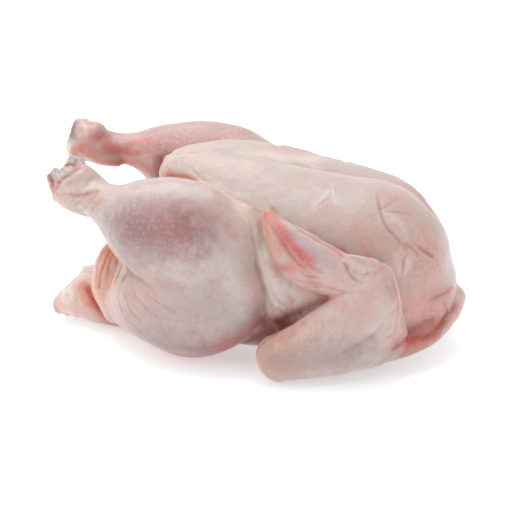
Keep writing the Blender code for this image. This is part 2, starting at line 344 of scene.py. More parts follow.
# --------------------
# The tail. A fleshy stump, wide at its root and pinched to a blunt point, with a pad of fat each side.
tail = [
    (-150, 0, 32, 36, 31),
    (-172, 0, 30, 35, 27),
    (-190, 0, 28, 30, 22),
    (-207, 0, 22, 21, 15),
    (-219, 0, 16, 12, 9),
]
outer.append(tube(tail, squareness=2.4, cap=0.6))
for side in BOTH:
    tail_fat = [
        (-156, 22, 43, 13, 12),
        (-172, 17, 43, 13, 11),
        (-188, 13, 45, 12, 12),
        (-199, 10, 33, 11, 10),
    ]
    outer.append(tube(sided(tail_fat, side)))

# --------------------
# The skin. One moist, elastic sheet over every muscle, laid on by fusing the tubes in even cells and
# rounding them over, after the body was drawn through the opening under the keel.
FLESH_CELL = 2.0 * mm
SKIN_CELL = 1.4 * mm
SMOOTHING = 0.5
FLESH_ROUNDS = 30
SKIN_ROUNDS = 18
SKIN_TRIANGLES = 196000
# The tubes' middle along x, which comes to the frame's, and how far the bird sinks into its flat spot.
TABLE_MIDDLE = -12.2
SINK = 1.5
# The drawn opening: its middle line, half width and half height.
OPENING = [(-192, 0, 142, 42, 26), (-150, 0, 114, 37, 42), (-112, 0, 102, 32, 44), (-60, 0, 90, 30, 36)]


def joined(name, tubes):
    """One mesh object holding every tube's points, in metres, and its faces."""
    points, faces, count = [], [], 0
    for tube_points, tube_faces in tubes:
        points.append(tube_points)
        faces += [[count + i for i in face] for face in tube_faces]
        count += len(tube_points)
    mesh = bpy.data.meshes.new(name)
    mesh.from_pydata((np.vstack(points) * mm).tolist(), [], faces)
    obj = bpy.data.objects.new(name, mesh)
    bpy.context.scene.collection.objects.link(obj)
    return obj


def finished(obj):
    """Applies the object's modifiers."""
    graph = bpy.context.evaluated_depsgraph_get()
    graph.update()
    mesh = bpy.data.meshes.new_from_object(obj.evaluated_get(graph))
    obj.modifiers.clear()
    old, obj.data = obj.data, mesh
    bpy.data.meshes.remove(old)
    mesh.name = obj.name


def with_modifier(obj, kind, **settings):
    """Gives the object one more modifier with these settings."""
    modifier = obj.modifiers.new(kind.lower(), kind)
    for name, value in settings.items():
        setattr(modifier, name, value)


body = joined("flesh", flesh)
with_modifier(body, "REMESH", mode="VOXEL", voxel_size=FLESH_CELL)
finished(body)
cutter = joined("cavity", [tube(OPENING)])
with_modifier(body, "BOOLEAN", operation="DIFFERENCE", object=cutter, solver="MANIFOLD")
finished(body)
with_modifier(body, "REMESH", mode="VOXEL", voxel_size=FLESH_CELL)
with_modifier(body, "SMOOTH", factor=SMOOTHING, iterations=FLESH_ROUNDS)
finished(body)
limbs = joined("limbs", outer)
with_modifier(body, "BOOLEAN", operation="UNION", object=limbs, solver="MANIFOLD")
finished(body)
for used in (cutter, limbs):
    bpy.data.objects.remove(used)
with_modifier(body, "REMESH", mode="VOXEL", voxel_size=SKIN_CELL)
with_modifier(body, "SMOOTH", factor=SMOOTHING, iterations=SKIN_ROUNDS)
finished(body)
skin = body
skin.name = skin.data.name = "raw_skin"

# How many straight steps run between two points of a path.
PATH_STEPS = 4


def mesh_points(mesh):
    """The mesh's points in millimetres and their outward normals."""
    points, normals = (np.empty(len(mesh.vertices) * 3, np.float32) for _ in range(2))
    mesh.vertices.foreach_get("co", points)
    mesh.vertices.foreach_get("normal", normals)
    return points.reshape(-1, 3).astype(float) / mm, normals.reshape(-1, 3).astype(float)


def mirror_of(points):
    """What turns each point to the bird's right side: -1 for y where the point lies on the left."""
    return np.where(points[:, 1:2] > 0, (1, -1, 1), 1)


def waves(points, size, seed, count=14):
    """Smooth random swell, mostly within -1 to 1: the mean of sine waves that run in random directions,
    each with a wavelength of 0.7 to 1.4 times the size."""
    dice = np.random.default_rng(seed)
    heading = unit(dice.normal(size=(count, 3))) * 2 * np.pi / (size * dice.uniform(0.7, 1.4, (count, 1)))
    return np.sin(points @ heading.T + dice.uniform(0, 2 * np.pi, count)).sum(1) / math.sqrt(count)


def beside(points, normals, path, margin):
    """Where the path passes: the indices of the points within the margin of its box, their distance from
    it with a sign for the side they lie on, how far along it their nearest place is, and its length."""
    path = spline(path, PATH_STEPS)
    lowest, highest = path.min(0) - margin, path.max(0) + margin
    near = np.flatnonzero(((points > lowest) & (points < highest)).all(1))
    p, n = points[near], normals[near]
    distance, length, signed = np.full(len(p), np.inf), np.zeros(len(p)), np.zeros(len(p))
    walked = 0.0
    for a, b in zip(path, path[1:]):
        step = np.linalg.norm(b - a)
        way = (b - a) / step
        share = np.clip((p - a) @ way, 0, step)
        offset = p - a - share[:, None] * way
        d = np.linalg.norm(offset, axis=1)
        closer = d < distance
        distance[closer], length[closer] = d[closer], walked + share[closer]
        side_of = np.sign((np.cross(n, way) * offset).sum(1))
        signed[closer] = (d * side_of)[closer]
        walked += step
    return near, signed, length, walked


# Folds of the skin on one side: height and width in mm, how strongly they take the crease colour as painted
# shade (0 to 1), and their path in mm in the frame. A negative height is a crease, a positive one a ridge.
FOLDS = [
    # The fold from the keel's tip down between breast and thigh, its middle seam and the web below it.
    (-0.8, 2.4, 0.1, [(-23, -90, 176), (5, -88, 160), (18, -100, 136), (22, -99, 104), (29, -99, 83),
        (39, -95, 57)]),
    (-0.7, 2.4, 0.1, [(-11, -72, 169), (14, -79, 159), (26, -96, 153), (29, -102, 136), (34, -98, 108),
        (44, -97, 94)]),
    (-0.5, 1.6, 0.1, [(-35, -80, 180), (-9, -79, 168), (17, -86, 156), (24, -95, 128), (31, -99, 95)]),
    (0.8, 2.0, 0.0, [(45, -96, 97), (51, -98, 86), (61, -101, 74)]),
    (-0.7, 2.0, 0.2, [(32, -99, 90), (40, -98, 76), (51, -97, 66)]),
    # The keel's lip and the scratches behind it.
    (-0.8, 2.0, 0.2, [(-81, -28, 169), (-62, -41, 174), (-46, -56, 174), (-30, -78, 176)]),
    (-0.4, 1.4, 0.1, [(-59, -36, 184), (-43, -51, 176), (-30, -60, 175)]),
    (0.7, 1.1, 0.0, [(81, -53, 170), (76, -64, 165), (69, -73, 160)]),
    (0.6, 1.1, 0.0, [(82, -40, 174), (86, -54, 168), (90, -66, 161)]),
    # Wrinkles where the breast skin is gathered towards the shoulder.
    (-0.7, 1.5, 0.5, [(124, -38, 166), (128, -53, 159), (135, -67, 145), (148, -69, 132)]),
    (-0.4, 1.3, 0.4, [(128, -58, 156), (135, -50, 158), (144, -32, 162)]),
    (-0.4, 1.3, 0.4, [(134, -56, 155), (147, -49, 152), (158, -39, 148)]),
    (-0.6, 1.4, 0.4, [(148, -69, 132), (157, -67, 120), (154, -71, 114), (153, -74, 101)]),
    (-0.6, 1.4, 0.5, [(155, -65, 127), (162, -62, 120), (166, -59, 115)]),
    (-0.7, 1.4, 0.8, [(168, -54, 120), (174, -50, 114), (179, -47, 109)]),
    (-0.5, 1.5, 0.3, [(163, -57, 125), (172, -52, 115), (182, -44, 103), (186, -40, 92)]),
    (1.0, 3.0, 0.0, [(137, -58, 153), (145, -60, 146), (152, -61, 138)]),
    (0.9, 2.6, 0.0, [(148, -75, 116), (149, -76, 108), (151, -75, 101)]),
    (0.9, 2.6, 0.0, [(157, -69, 116), (157, -70, 108), (155, -72, 102)]),
    (-0.7, 1.8, 0.5, [(179, -53, 68), (186, -47, 70), (193, -37, 71), (198, -22, 71)]),
    (-1.2, 2.4, 0.6, [(202, -27, 55), (198, -38, 51), (192, -48, 46), (187, -55, 41)]),
    (-0.9, 2.0, 0.5, [(191, -43, 61), (195, -40, 51), (189, -51, 45)]),
    # The hand: its leading edge against the breast, the tendons under it, and the folds at its wrist.
    (-1.3, 1.8, 0.6, [(31, -79, 159), (57, -98, 150), (74, -109, 143), (95, -114, 134),
        (103, -118, 130)]),
    (-1.2, 1.7, 0.5, [(30, -98, 153), (44, -108, 139), (58, -116, 124), (68, -119, 117)]),
    (0.7, 2.4, 0.0, [(29, -91, 157), (36, -103, 140), (44, -110, 124), (52, -113, 112)]),
    (-0.7, 1.6, 0.3, [(56, -99, 94), (73, -118, 100), (87, -123, 101), (106, -126, 100)]),
    (-0.6, 1.4, 0.3, [(64, -118, 113), (69, -120, 110), (83, -123, 110)]),
    (-0.6, 1.4, 0.3, [(55, -113, 105), (68, -118, 103), (83, -123, 105)]),
    (-0.6, 1.6, 0.4, [(63, -117, 126), (73, -120, 120), (84, -123, 116)]),
    (-1.0, 1.6, 0.4, [(105, -123, 125), (109, -125, 118), (114, -127, 113), (121, -128, 110)]),
    (-0.6, 1.3, 0.4, [(108, -122, 131), (113, -123, 131), (119, -124, 129)]),
    (-0.6, 2.0, 0.4, [(96, -91, 126), (99, -91, 124)]),
    # The forward edge of the wing, beaded where the quills stood.
    (1.2, 2.4, 0.3, [(139, -112, 120), (149, -116, 104), (152, -115, 86), (151, -112, 70),
        (149, -107, 46)]),
    (-0.7, 1.8, 0.3, [(140, -122, 112), (146, -122, 98), (147, -120, 82), (143, -118, 64)]),
    (-0.8, 1.6, 0.4, [(151, -120, 66), (145, -121, 63)]),
    (-0.8, 1.6, 0.4, [(151, -115, 55), (144, -118, 53)]),
    # Deep folds of the vent skin where it was gathered, and the notch between it and the tail.
    (-0.9, 1.4, 0.9, [(-127, -76, 107), (-131, -77, 100), (-134, -77, 91), (-138, -76, 81),
        (-141, -73, 66)]),
    (-0.7, 1.3, 0.7, [(-124, -78, 104), (-128, -78, 95), (-130, -77, 85), (-133, -77, 76)]),
    (-0.9, 1.4, 0.9, [(-119, -80, 101), (-121, -79, 95), (-122, -82, 88), (-124, -85, 80),
        (-128, -82, 70)]),
    (-0.9, 1.4, 0.8, [(-110, -98, 102), (-113, -93, 94), (-114, -94, 90), (-117, -94, 80)]),
    (-0.9, 1.4, 0.7, [(-103, -105, 101), (-103, -104, 96), (-106, -103, 92), (-110, -100, 82)]),
    (-0.6, 1.3, 0.5, [(-137, -73, 101), (-141, -72, 90), (-143, -72, 78), (-145, -71, 64)]),
    (0.5, 2.0, 0.0, [(-133, -76, 101), (-137, -76, 90), (-141, -74, 76)]),
    (-1.6, 2.2, 0.3, [(-168, -26, 48), (-161, -33, 39), (-155, -36, 31), (-148, -35, 19)]),
    (3.2, 2.6, 0.2, [(-198, -12, 8), (-194, -13, 7)]),
    # Concentric wrinkles of the thigh below the drumstick, and the furrow between the two.
    (-1.0, 2.6, 0.1, [(-123, -96, 120), (-111, -104, 111), (-99, -108, 97), (-88, -113, 94),
        (-76, -119, 88)]),
    (-0.8, 2.0, 0.1, [(-95, -111, 88), (-92, -115, 78), (-73, -122, 64), (-60, -123, 59)]),
    (-0.7, 1.8, 0.2, [(-82, -117, 85), (-73, -121, 78), (-52, -125, 68)]),
    (-0.7, 1.8, 0.1, [(-102, -107, 86), (-103, -110, 72), (-96, -114, 60), (-83, -118, 53)]),
    (-0.7, 1.8, 0.1, [(-110, -102, 81), (-113, -102, 67), (-108, -105, 53), (-96, -110, 46)]),
    (-0.5, 3.0, 0.2, [(-93, -114, 105), (-70, -125, 120), (-50, -128, 128), (-28, -126, 138)]),
    # The hock: the cut edge of the skin, the creases between the gristle knobs, and the ankle's grain.
    (-1.2, 1.8, 0.4, [(-179, -78, 164), (-173, -79, 174), (-166, -77, 179), (-156, -67, 184)]),
    (-1.8, 1.8, 0.9, [(-174, -62, 185), (-169, -66, 187), (-163, -66, 188)]),
    (-1.6, 1.8, 0.6, [(-186, -73, 180), (-181, -78, 174), (-182, -77, 166)]),
    (-1.0, 1.8, 0.4, [(-164, -81, 163), (-154, -80, 162), (-141, -82, 166), (-135, -82, 167)]),
    (-1.2, 2.0, 0.0, [(-190, 58, 197), (-187, 48, 191), (-192, 44, 185), (-202, 43, 172)]),
    (-0.5, 1.4, 0.3, [(-157, -79, 152), (-145, -82, 165)]),
    (-0.5, 1.4, 0.3, [(-149, -82, 150), (-137, -85, 164)]),
    (-0.5, 1.4, 0.3, [(-140, -88, 150), (-130, -90, 163)]),
    # The slot where the neck skin was cut from the shoulder.
    (-1.2, 2.6, 0.9, [(150, -103, 37), (158, -93, 41), (166, -73, 36), (179, -65, 36), (193, -48, 44)]),
]


# Where loose skin is crinkled on one side: centre, reach and depth of the crinkles in mm.
CRINKLED = [
    ((168, -56, 112), 36, 0.40),
    ((150, -62, 150), 22, 0.25),
    ((192, -42, 52), 24, 0.45),
    ((112, -124, 118), 18, 0.40),
    ((72, -116, 112), 24, 0.30),
    ((45, -96, 80), 26, 0.14),
    ((-150, -80, 158), 20, 0.30),
    ((-132, -74, 88), 24, 0.30),
    ((-180, -18, 40), 24, 0.14),
]
# Size in mm and random seed of the two swells that the crinkles follow, how thin the crinkles are,
# and how much closer together they lie along each axis.
CRINKLE_SWELLS = ((19.0, 11), (11.0, 12))
CRINKLE_WIDTH = 0.22
CRINKLE_STRETCH = (1.0, 1.0, 1.7)
# How far crinkles are worked out, in reaches.
CRINKLE_MARGIN = 1.6
# Height and size in mm of the flesh's own slow swells, and their random seeds.
FLESH_SWELLS = ((0.35, 34.0, 3), (0.16, 13.0, 4))
# Lumps of fat on the tail, gristle at the hocks and quill beds at the wing: centre, reach, size and
# height in mm. They share one random seed.
LUMPS = [
    ((-184, 0, 34), 34, 13.0, 0.8),
    ((-178, -66, 176), 26, 7.0, 1.0),
    ((-195, 60, 182), 26, 9.0, 0.8),
    ((153, -112, 86), 30, 7.0, 0.22),
    ((126, -116, 124), 14, 6.0, 0.22),
]
LUMP_SEED = 5
# The low lips beside a crease: their share of its depth, and their place in widths from its middle.
LIP_SHARE = 0.35
LIP_PLACE = 1.9
# How far a fold is worked out, in widths, and the share of its length at each end that has one depth.
FOLD_MARGIN = 4
FOLD_END = 0.04


def crinkles(points):
    """The depth in mm of the fine wrinkles: each lies where one of two random swells crosses zero."""
    depth = np.zeros(len(points))
    for centre, reach, deep in CRINKLED:
        near = np.flatnonzero(np.linalg.norm(points - centre, axis=1) < CRINKLE_MARGIN * reach)
        here = points[near] * CRINKLE_STRETCH
        share = deep * np.exp(-((np.linalg.norm(points[near] - centre, axis=1) / reach) ** 4))
        for size, seed in CRINKLE_SWELLS:
            line = np.exp(-((waves(here, size, seed) / CRINKLE_WIDTH) ** 2))
            depth[near] = np.maximum(depth[near], share * line)
    return depth


def relief(points, normals):
    """How far each point of the skin moves out, in mm. A fold is a Gaussian across its path and fades
    with the sine towards its ends; a crease has two low lips beside it. Slow swells of the flesh
    underneath are added everywhere, crinkles where the skin is loose, and lumps of fat and gristle."""
    half, outward = points * mirror_of(points), normals * mirror_of(points)
    height = sum(swell * waves(points, size, seed) for swell, size, seed in FLESH_SWELLS) - crinkles(half)
    for size, width, _, path in FOLDS:
        near, signed, length, whole = beside(half, outward, path, FOLD_MARGIN * width)
        d = np.abs(signed) / width
        fade = np.sin(np.pi * np.clip(length / whole, FOLD_END, 1 - FOLD_END)) ** 0.5
        lips = LIP_SHARE * np.exp(-((d - LIP_PLACE) ** 2)) if size < 0 else 0.0
        height[near] += fade * size * (np.exp(-(d**2)) - lips)
    for centre, reach, size, lump in LUMPS:
        share = np.exp(-((np.linalg.norm(points - centre, axis=1) / reach) ** 4))
        height += lump * share * waves(points, size, LUMP_SEED)
    return height


points, normals = mesh_points(skin.data)
points -= (TABLE_MIDDLE, 0.0, SINK)
points += normals * relief(points, normals)[:, None]
points[:, 2] = np.maximum(points[:, 2], 0.0)  # flat where it lies on the table
skin.data.vertices.foreach_set("co", (points * mm).astype(np.float32).ravel())
skin.data.update()
# Each of the even cells' faces is two triangles.
with_modifier(skin, "DECIMATE", ratio=SKIN_TRIANGLES / (2 * len(skin.data.polygons)))
finished(skin)
skin.data.shade_smooth()
points, normals = mesh_points(skin.data)

# --------------------
# The colours of the skin. Fresh turkey skin is thin and pale: cream where fat lies under it, purple
# where dark leg muscle shows through, pink where blood is left, and red only where meat is bare.
PALETTE = {
    "skin": "#dccac3",
    # A pale pink, used both for pale skin and for painted highlights and painted light.
    "bloom": "#eddedd",
    "fat": "#efe0d6",
    "cream": "#fcf1e6",
    "warm_fat": "#eeb193",
    "amber": "#e3835f",
    "blush": "#f0b6ab",
    "blood": "#e0655f",
    "meat": "#d23c3a",
    # A brighter red: painted light on bare meat that lies in shade.
    "wet_meat": "#fb4a42",
    "leg_muscle": "#93656a",
    "thigh_muscle": "#ac928f",
    "vein": "#b1abb0",
    "gristle": "#bfb7b9",
    # Painted shade: a dark red-brown for creases, crinkles and hollows, and a darker one for the pocket
    # behind the elbow and the hock's creases.
    "crevice": "#b04f3c",
    "pocket": "#86261d",
    "inside": "#8a3f3a",
}


def linear(hex_colour):
    """The linear value of an sRGB hex colour."""
    values = np.array([int(hex_colour[i : i + 2], 16) for i in (1, 3, 5)]) / 255
    return np.where(values > 0.04045, ((values + 0.055) / 1.055) ** 2.4, values / 12.92)


# Tints on one side, painted in this order: colour, strength, reach in mm and path in mm.
TINTS = [
    # Dark muscle shows through the skin of the drumstick, blue-grey at its back, with a painted highlight
    # along its top.
    ("leg_muscle", 0.68, 27, [(-95, -118, 139), (-65, -125, 143), (-42, -123, 150)]),
    ("leg_muscle", 0.35, 22, [(-91, -114, 157), (-43, -117, 164), (-24, -117, 157)]),
    ("blood", 0.12, 20, [(-95, -118, 139), (-70, -124, 146)]),
    ("blood", 0.20, 13, [(-56, -121, 156), (-44, -124, 150), (-40, -127, 142)]),
    ("blush", 0.30, 18, [(-18, -104, 168), (-6, -105, 159), (5, -109, 146)]),
    ("vein", 0.65, 14, [(-120, -104, 142), (-112, -109, 130), (-97, -113, 110)]),
    # Painted highlight along the drumstick's top.
    ("bloom", 0.50, 16, [(-122, -88, 169), (-75, -99, 181), (-33, -98, 181)]),
    # The thigh is grey and cream over its muscle and darker towards the table. Towards the flank it is
    # pinker, with painted shade, dark red, low where it meets the elbow, and painted light where the wing
    # shades it.
    ("thigh_muscle", 0.38, 38, [(-80, -118, 70), (-40, -124, 68), (-24, -122, 70)]),
    ("thigh_muscle", 0.70, 22, [(-103, -102, 38), (-56, -115, 26), (-14, -108, 26)]),
    ("fat", 0.20, 22, [(-77, -120, 84), (-48, -123, 96), (-24, -122, 101)]),
    ("blush", 0.30, 20, [(-110, -102, 74), (-95, -110, 72), (-80, -118, 84)]),
    ("blush", 0.30, 12, [(17, -109, 93), (20, -105, 77), (18, -101, 55)]),
    # Painted shade on the thigh's lower right and the flank below it, where thigh and elbow meet.
    ("leg_muscle", 0.20, 12, [(8, -113, 56), (3, -109, 42), (-10, -104, 26)]),
    ("leg_muscle", 0.45, 14, [(-30, -104, 18), (-10, -104, 26), (4, -102, 36), (14, -98, 48)]),
    ("blood", 0.50, 9, [(-16, -104, 22), (-5, -104, 30), (4, -100, 35), (13, -96, 43), (19, -97, 51)]),
    ("crevice", 0.60, 5, [(-16, -102, 18), (-5, -98, 24), (6, -94, 32), (15, -92, 42), (22, -94, 52)]),
    # Painted light on the thigh's right side, which the wing shades.
    ("bloom", 0.50, 12, [(0, -118, 98), (9, -116, 80), (9, -113, 64)]),
    # Cream fat: the fold on the flank, the lip under the keel, and the breast's crest.
    ("fat", 0.90, 9, [(-84, -14, 181), (-70, -36, 176), (-46, -56, 176), (-26, -70, 174),
        (-6, -77, 166), (8, -84, 158)]),
    ("cream", 0.80, 9, [(2, -84, 162), (14, -90, 154), (21, -95, 143), (25, -96, 124), (31, -98, 104),
        (40, -98, 84), (42, -96, 66)]),
    ("bloom", 0.40, 12, [(36, -97, 92), (44, -97, 78), (60, -101, 72)]),
    ("amber", 0.80, 5, [(-84, -22, 169), (-72, -33, 171), (-62, -41, 172), (-50, -51, 172)]),
    ("blood", 0.55, 3.5, [(-82, -26, 169), (-70, -35, 171), (-58, -45, 172)]),
    ("fat", 0.45, 8, [(45, -96, 97), (54, -99, 84), (68, -104, 88)]),
    ("fat", 0.45, 12, [(-74, -13, 187), (-9, -33, 189), (48, -18, 181), (114, -9, 170),
        (153, -11, 159)]),
    # Warm tints of the front of the breast, redder towards the neck.
    ("blush", 0.45, 28, [(160, -56, 118), (172, -48, 104), (180, -50, 84)]),
    ("warm_fat", 0.40, 12, [(118, -84, 136), (140, -74, 124), (152, -74, 98)]),
    ("blush", 0.30, 16, [(76, -80, 150), (100, -82, 142), (124, -78, 132)]),
    ("blush", 0.40, 22, [(147, -45, 153), (166, -45, 137), (184, -38, 105)]),
    ("cream", 0.35, 3, [(81, -53, 170), (76, -64, 165), (69, -73, 160)]),
    ("cream", 0.30, 3, [(82, -40, 174), (86, -54, 168), (90, -66, 161)]),
    ("bloom", 0.55, 8, [(137, -58, 153), (145, -60, 146), (152, -61, 138)]),
    ("cream", 0.45, 4, [(148, -75, 117), (149, -76, 108), (151, -75, 100)]),
    ("cream", 0.45, 4, [(157, -69, 117), (157, -70, 108), (155, -72, 101)]),
    ("fat", 0.45, 6, [(146, -75, 118), (149, -76, 108), (157, -70, 108)]),
    ("blood", 0.30, 10, [(179, -53, 68), (186, -47, 70), (198, -32, 66)]),
    ("bloom", 0.50, 9, [(207, -2, 56), (208, -14, 52), (203, -35, 42)]),
    ("blush", 0.35, 12, [(207, -2, 58), (208, -14, 55), (203, -35, 46)]),
    # The hand: a blood-red streak, an orange tip and rim, and blue-grey behind the leading edge.
    ("blood", 0.75, 6, [(36, -96, 156), (42, -102, 150), (48, -107, 144), (60, -115, 133),
        (72, -119, 126)]),
    ("meat", 0.45, 3.5, [(50, -109, 141), (58, -114, 135), (66, -118, 128)]),
    ("meat", 0.35, 3, [(45, -110, 114), (52, -113, 113)]),
    ("blood", 0.40, 10, [(44, -108, 138), (56, -115, 128), (70, -119, 120)]),
    ("blood", 0.70, 6, [(38, -100, 108), (47, -111, 112), (54, -114, 113)]),
    ("warm_fat", 0.85, 7, [(16, -86, 160), (24, -93, 156), (29, -101, 142), (34, -106, 124),
        (40, -101, 108)]),
    ("amber", 0.40, 6, [(22, -89, 160), (26, -94, 156)]),
    ("blood", 0.35, 5, [(22, -89, 160), (27, -90, 159), (32, -93, 157)]),
    ("blush", 0.40, 10, [(56, -114, 108), (72, -119, 108), (90, -124, 106)]),
    ("vein", 0.50, 8, [(60, -106, 146), (77, -116, 135), (93, -122, 126)]),
    ("bloom", 0.20, 7, [(62, -108, 144), (77, -115, 137), (91, -119, 130)]),
    ("warm_fat", 0.60, 6, [(61, -101, 89), (83, -108, 87), (94, -124, 92)]),
    ("warm_fat", 0.50, 5, [(66, -103, 147), (85, -108, 140), (98, -113, 133)]),
    ("blood", 0.50, 5, [(96, -91, 126), (99, -91, 124)]),
    # The forearm is pinker at the wrist, warm towards the elbow, and red along its forward edge.
    ("blush", 0.25, 30, [(70, -136, 60), (100, -132, 70), (130, -122, 80)]),
    ("blush", 0.40, 18, [(108, -124, 120), (120, -127, 114), (130, -123, 100)]),
    ("bloom", 0.30, 10, [(108, -124, 124), (120, -127, 116)]),
    ("warm_fat", 0.65, 20, [(30, -130, 30), (40, -134, 38), (54, -132, 50)]),
    ("thigh_muscle", 0.60, 20, [(46, -138, 30), (86, -136, 40), (112, -128, 44)]),
    ("blush", 0.50, 10, [(140, -114, 112), (150, -110, 98), (153, -104, 76), (150, -106, 48)]),
    ("blood", 0.30, 4, [(138, -116, 120), (149, -118, 104), (153, -117, 86), (152, -114, 68),
        (149, -109, 48)]),
    ("bloom", 0.35, 10, [(130, -124, 108), (138, -122, 92), (136, -120, 72)]),
    # Painted shade, dark red-brown, in the pocket behind the elbow and along the forearm's upper edge, and
    # bare meat and fat where the neck was cut.
    # Painted shade in the pocket behind the elbow.
    ("crevice", 0.35, 13, [(41, -91, 44), (61, -98, 62), (81, -108, 84)]),
    ("crevice", 0.80, 14, [(0, -66, 17), (13, -74, 25), (29, -81, 34), (41, -91, 44)]),
    ("crevice", 0.50, 11, [(16, -80, 26), (25, -86, 44), (36, -92, 52)]),
    ("pocket", 0.85, 9, [(-4, -64, 15), (6, -69, 20), (21, -77, 29), (32, -84, 38), (41, -91, 46)]),
    ("pocket", 0.75, 4, [(38, -93, 52), (53, -97, 61), (73, -105, 76), (85, -111, 83)]),
    ("blood", 0.70, 7, [(152, -100, 40), (161, -79, 33), (170, -73, 31), (179, -66, 32),
        (186, -58, 38)]),
    ("meat", 0.95, 6, [(156, -92, 38), (163, -77, 35), (170, -71, 35), (179, -65, 36), (185, -60, 37)]),
    # Painted light on the bare meat of the slot, which lies in shade: a brighter red.
    ("wet_meat", 1.0, 6, [(160, -84, 37), (166, -75, 35), (171, -72, 33), (177, -68, 34),
        (182, -64, 36)]),
    ("blood", 0.50, 6, [(184, -60, 38), (193, -50, 42), (200, -38, 48), (204, -28, 52)]),
    ("blush", 0.45, 14, [(186, -59, 48), (196, -48, 50), (204, -30, 50)]),
    ("blush", 0.75, 20, [(158, -72, 62), (168, -63, 58), (178, -57, 58)]),
    # Painted shade, red, in the crease above the neck's slot.
    ("blood", 0.55, 8, [(158, -85, 48), (166, -68, 44), (176, -62, 44), (184, -56, 46)]),
    ("thigh_muscle", 0.80, 13, [(150, -102, 28), (166, -78, 22), (180, -64, 26)]),
    ("warm_fat", 0.50, 10, [(148, -100, 24), (162, -80, 20), (178, -66, 26)]),
    ("blood", 0.35, 6, [(160, -80, 23), (168, -74, 22), (176, -69, 24)]),
    # The vent skin and the tail are orange with fat, and red in the notch between them.
    ("warm_fat", 0.85, 22, [(-126, -80, 106), (-138, -74, 84), (-146, -66, 56)]),
    ("amber", 0.80, 8, [(-134, -71, 105), (-127, -76, 107), (-119, -86, 108)]),
    ("blush", 0.40, 16, [(-142, -68, 51), (-136, -60, 36), (-124, -88, 60)]),
    ("warm_fat", 0.60, 26, [(-160, -26, 46), (-180, -24, 38), (-196, -16, 28)]),
    ("fat", 0.60, 26, [(-170, -14, 48), (-190, -14, 34)]),
    ("cream", 0.75, 13, [(-178, -2, 54), (-180, -18, 51), (-188, -20, 41), (-196, -18, 34)]),
    ("blush", 0.40, 12, [(-190, -20, 26), (-176, -30, 22)]),
    ("amber", 0.70, 8, [(-172, -26, 48), (-166, -29, 43), (-161, -33, 38)]),
    ("amber", 0.60, 5, [(-166, -29, 46), (-160, -33, 38)]),
    ("meat", 0.80, 3.5, [(-167, -29, 46), (-161, -33, 39), (-155, -36, 31)]),
    ("blood", 0.50, 8, [(-208, -8, 14), (-212, -2, 16)]),
    ("meat", 0.60, 7, [(-157, -35, 32), (-152, -36, 25), (-148, -35, 17)]),
]
# Tints that differ on the two sides: the legs were bled and trimmed differently, the right hock has painted
# shade in its creases, and the left breast a painted highlight along its crest.
RIGHT_TINTS = [
    ("blush", 0.40, 14, [(-178, -77, 164), (-168, -76, 174), (-156, -66, 182)]),
    ("blush", 0.45, 9, [(-163, -81, 158), (-149, -81, 160), (-134, -86, 161)]),
    ("bloom", 0.50, 12, [(-176, -74, 174), (-162, -79, 172)]),
    ("fat", 0.75, 5, [(-165, -81, 167), (-154, -79, 170), (-140, -77, 171)]),
    ("gristle", 0.70, 8, [(-190, -66, 178), (-184, -73, 178), (-178, -73, 183)]),
    ("gristle", 0.80, 7, [(-173, -54, 192), (-162, -56, 191)]),
    # Painted shade in the creases between the right hock's gristle knobs.
    ("leg_muscle", 0.55, 3, [(-185, -74, 178), (-181, -77, 175)]),
    ("pocket", 0.85, 3.5, [(-173, -63, 185), (-168, -66, 187), (-163, -66, 188)]),
    ("blood", 0.50, 4, [(-181, -77, 173), (-183, -76, 165)]),
]
LEFT_TINTS = [
    # Painted highlight, cream, on the left breast beyond the keel valley, carried on paler towards the
    # neck.
    ("cream", 0.60, 8, [(-11, 8, 184), (7, 16, 182), (26, 22, 179), (40, 30, 177), (59, 37, 174)]),
    ("bloom", 0.30, 14, [(60, 40, 173), (98, 50, 166), (139, 45, 155)]),
    ("blush", 0.60, 4.5, [(10, 32, 185), (19, 39, 184), (30, 43, 181), (43, 45, 178), (52, 50, 175)]),
    ("blush", 0.30, 24, [(-188, 42, 172), (-150, 52, 166), (-112, 54, 166)]),
    ("amber", 0.55, 9, [(-198, 41, 170), (-188, 42, 172), (-176, 44, 164)]),
    ("blood", 0.10, 14, [(-192, 42, 170), (-176, 46, 170), (-150, 54, 166)]),
    ("blood", 0.25, 9, [(-178, 46, 182), (-170, 50, 182), (-158, 54, 176)]),
    ("blood", 0.45, 6, [(-176, 46, 185), (-170, 50, 185), (-164, 55, 184)]),
    ("amber", 0.45, 8, [(-150, 54, 160), (-136, 54, 160)]),
    ("blood", 0.70, 5, [(-167, 48, 172), (-156, 52, 171), (-146, 54, 168), (-136, 54, 165)]),
    ("blood", 0.75, 9, [(-173, 52, 154), (-150, 56, 152), (-125, 53, 150), (-104, 46, 150)]),
    ("bloom", 0.50, 3, [(-166, 47, 162), (-152, 53, 161), (-132, 52, 162), (-119, 50, 167),
        (-108, 49, 171)]),
    ("blush", 0.55, 24, [(-120, 56, 172), (-80, 58, 176), (-40, 68, 182)]),
    ("blood", 0.22, 12, [(-146, 54, 176), (-128, 56, 176), (-112, 54, 174)]),
    ("leg_muscle", 0.25, 24, [(-110, 60, 182), (-69, 63, 188), (-39, 71, 189)]),
    ("blood", 0.35, 5, [(-133, 58, 179), (-124, 59, 179)]),
    ("cream", 0.75, 3.5, [(-190, 58, 197), (-187, 48, 191), (-192, 44, 185), (-202, 43, 174),
        (-205, 46, 168)]),
    ("bloom", 0.80, 6, [(-208, 52, 168), (-212, 58, 178), (-206, 60, 196), (-196, 62, 202)]),
    ("blush", 0.70, 7, [(-184, 62, 196), (-180, 54, 194)]),
    ("leg_muscle", 0.80, 4.5, [(-198, 53, 196), (-200, 48, 192), (-200, 44, 186)]),
]


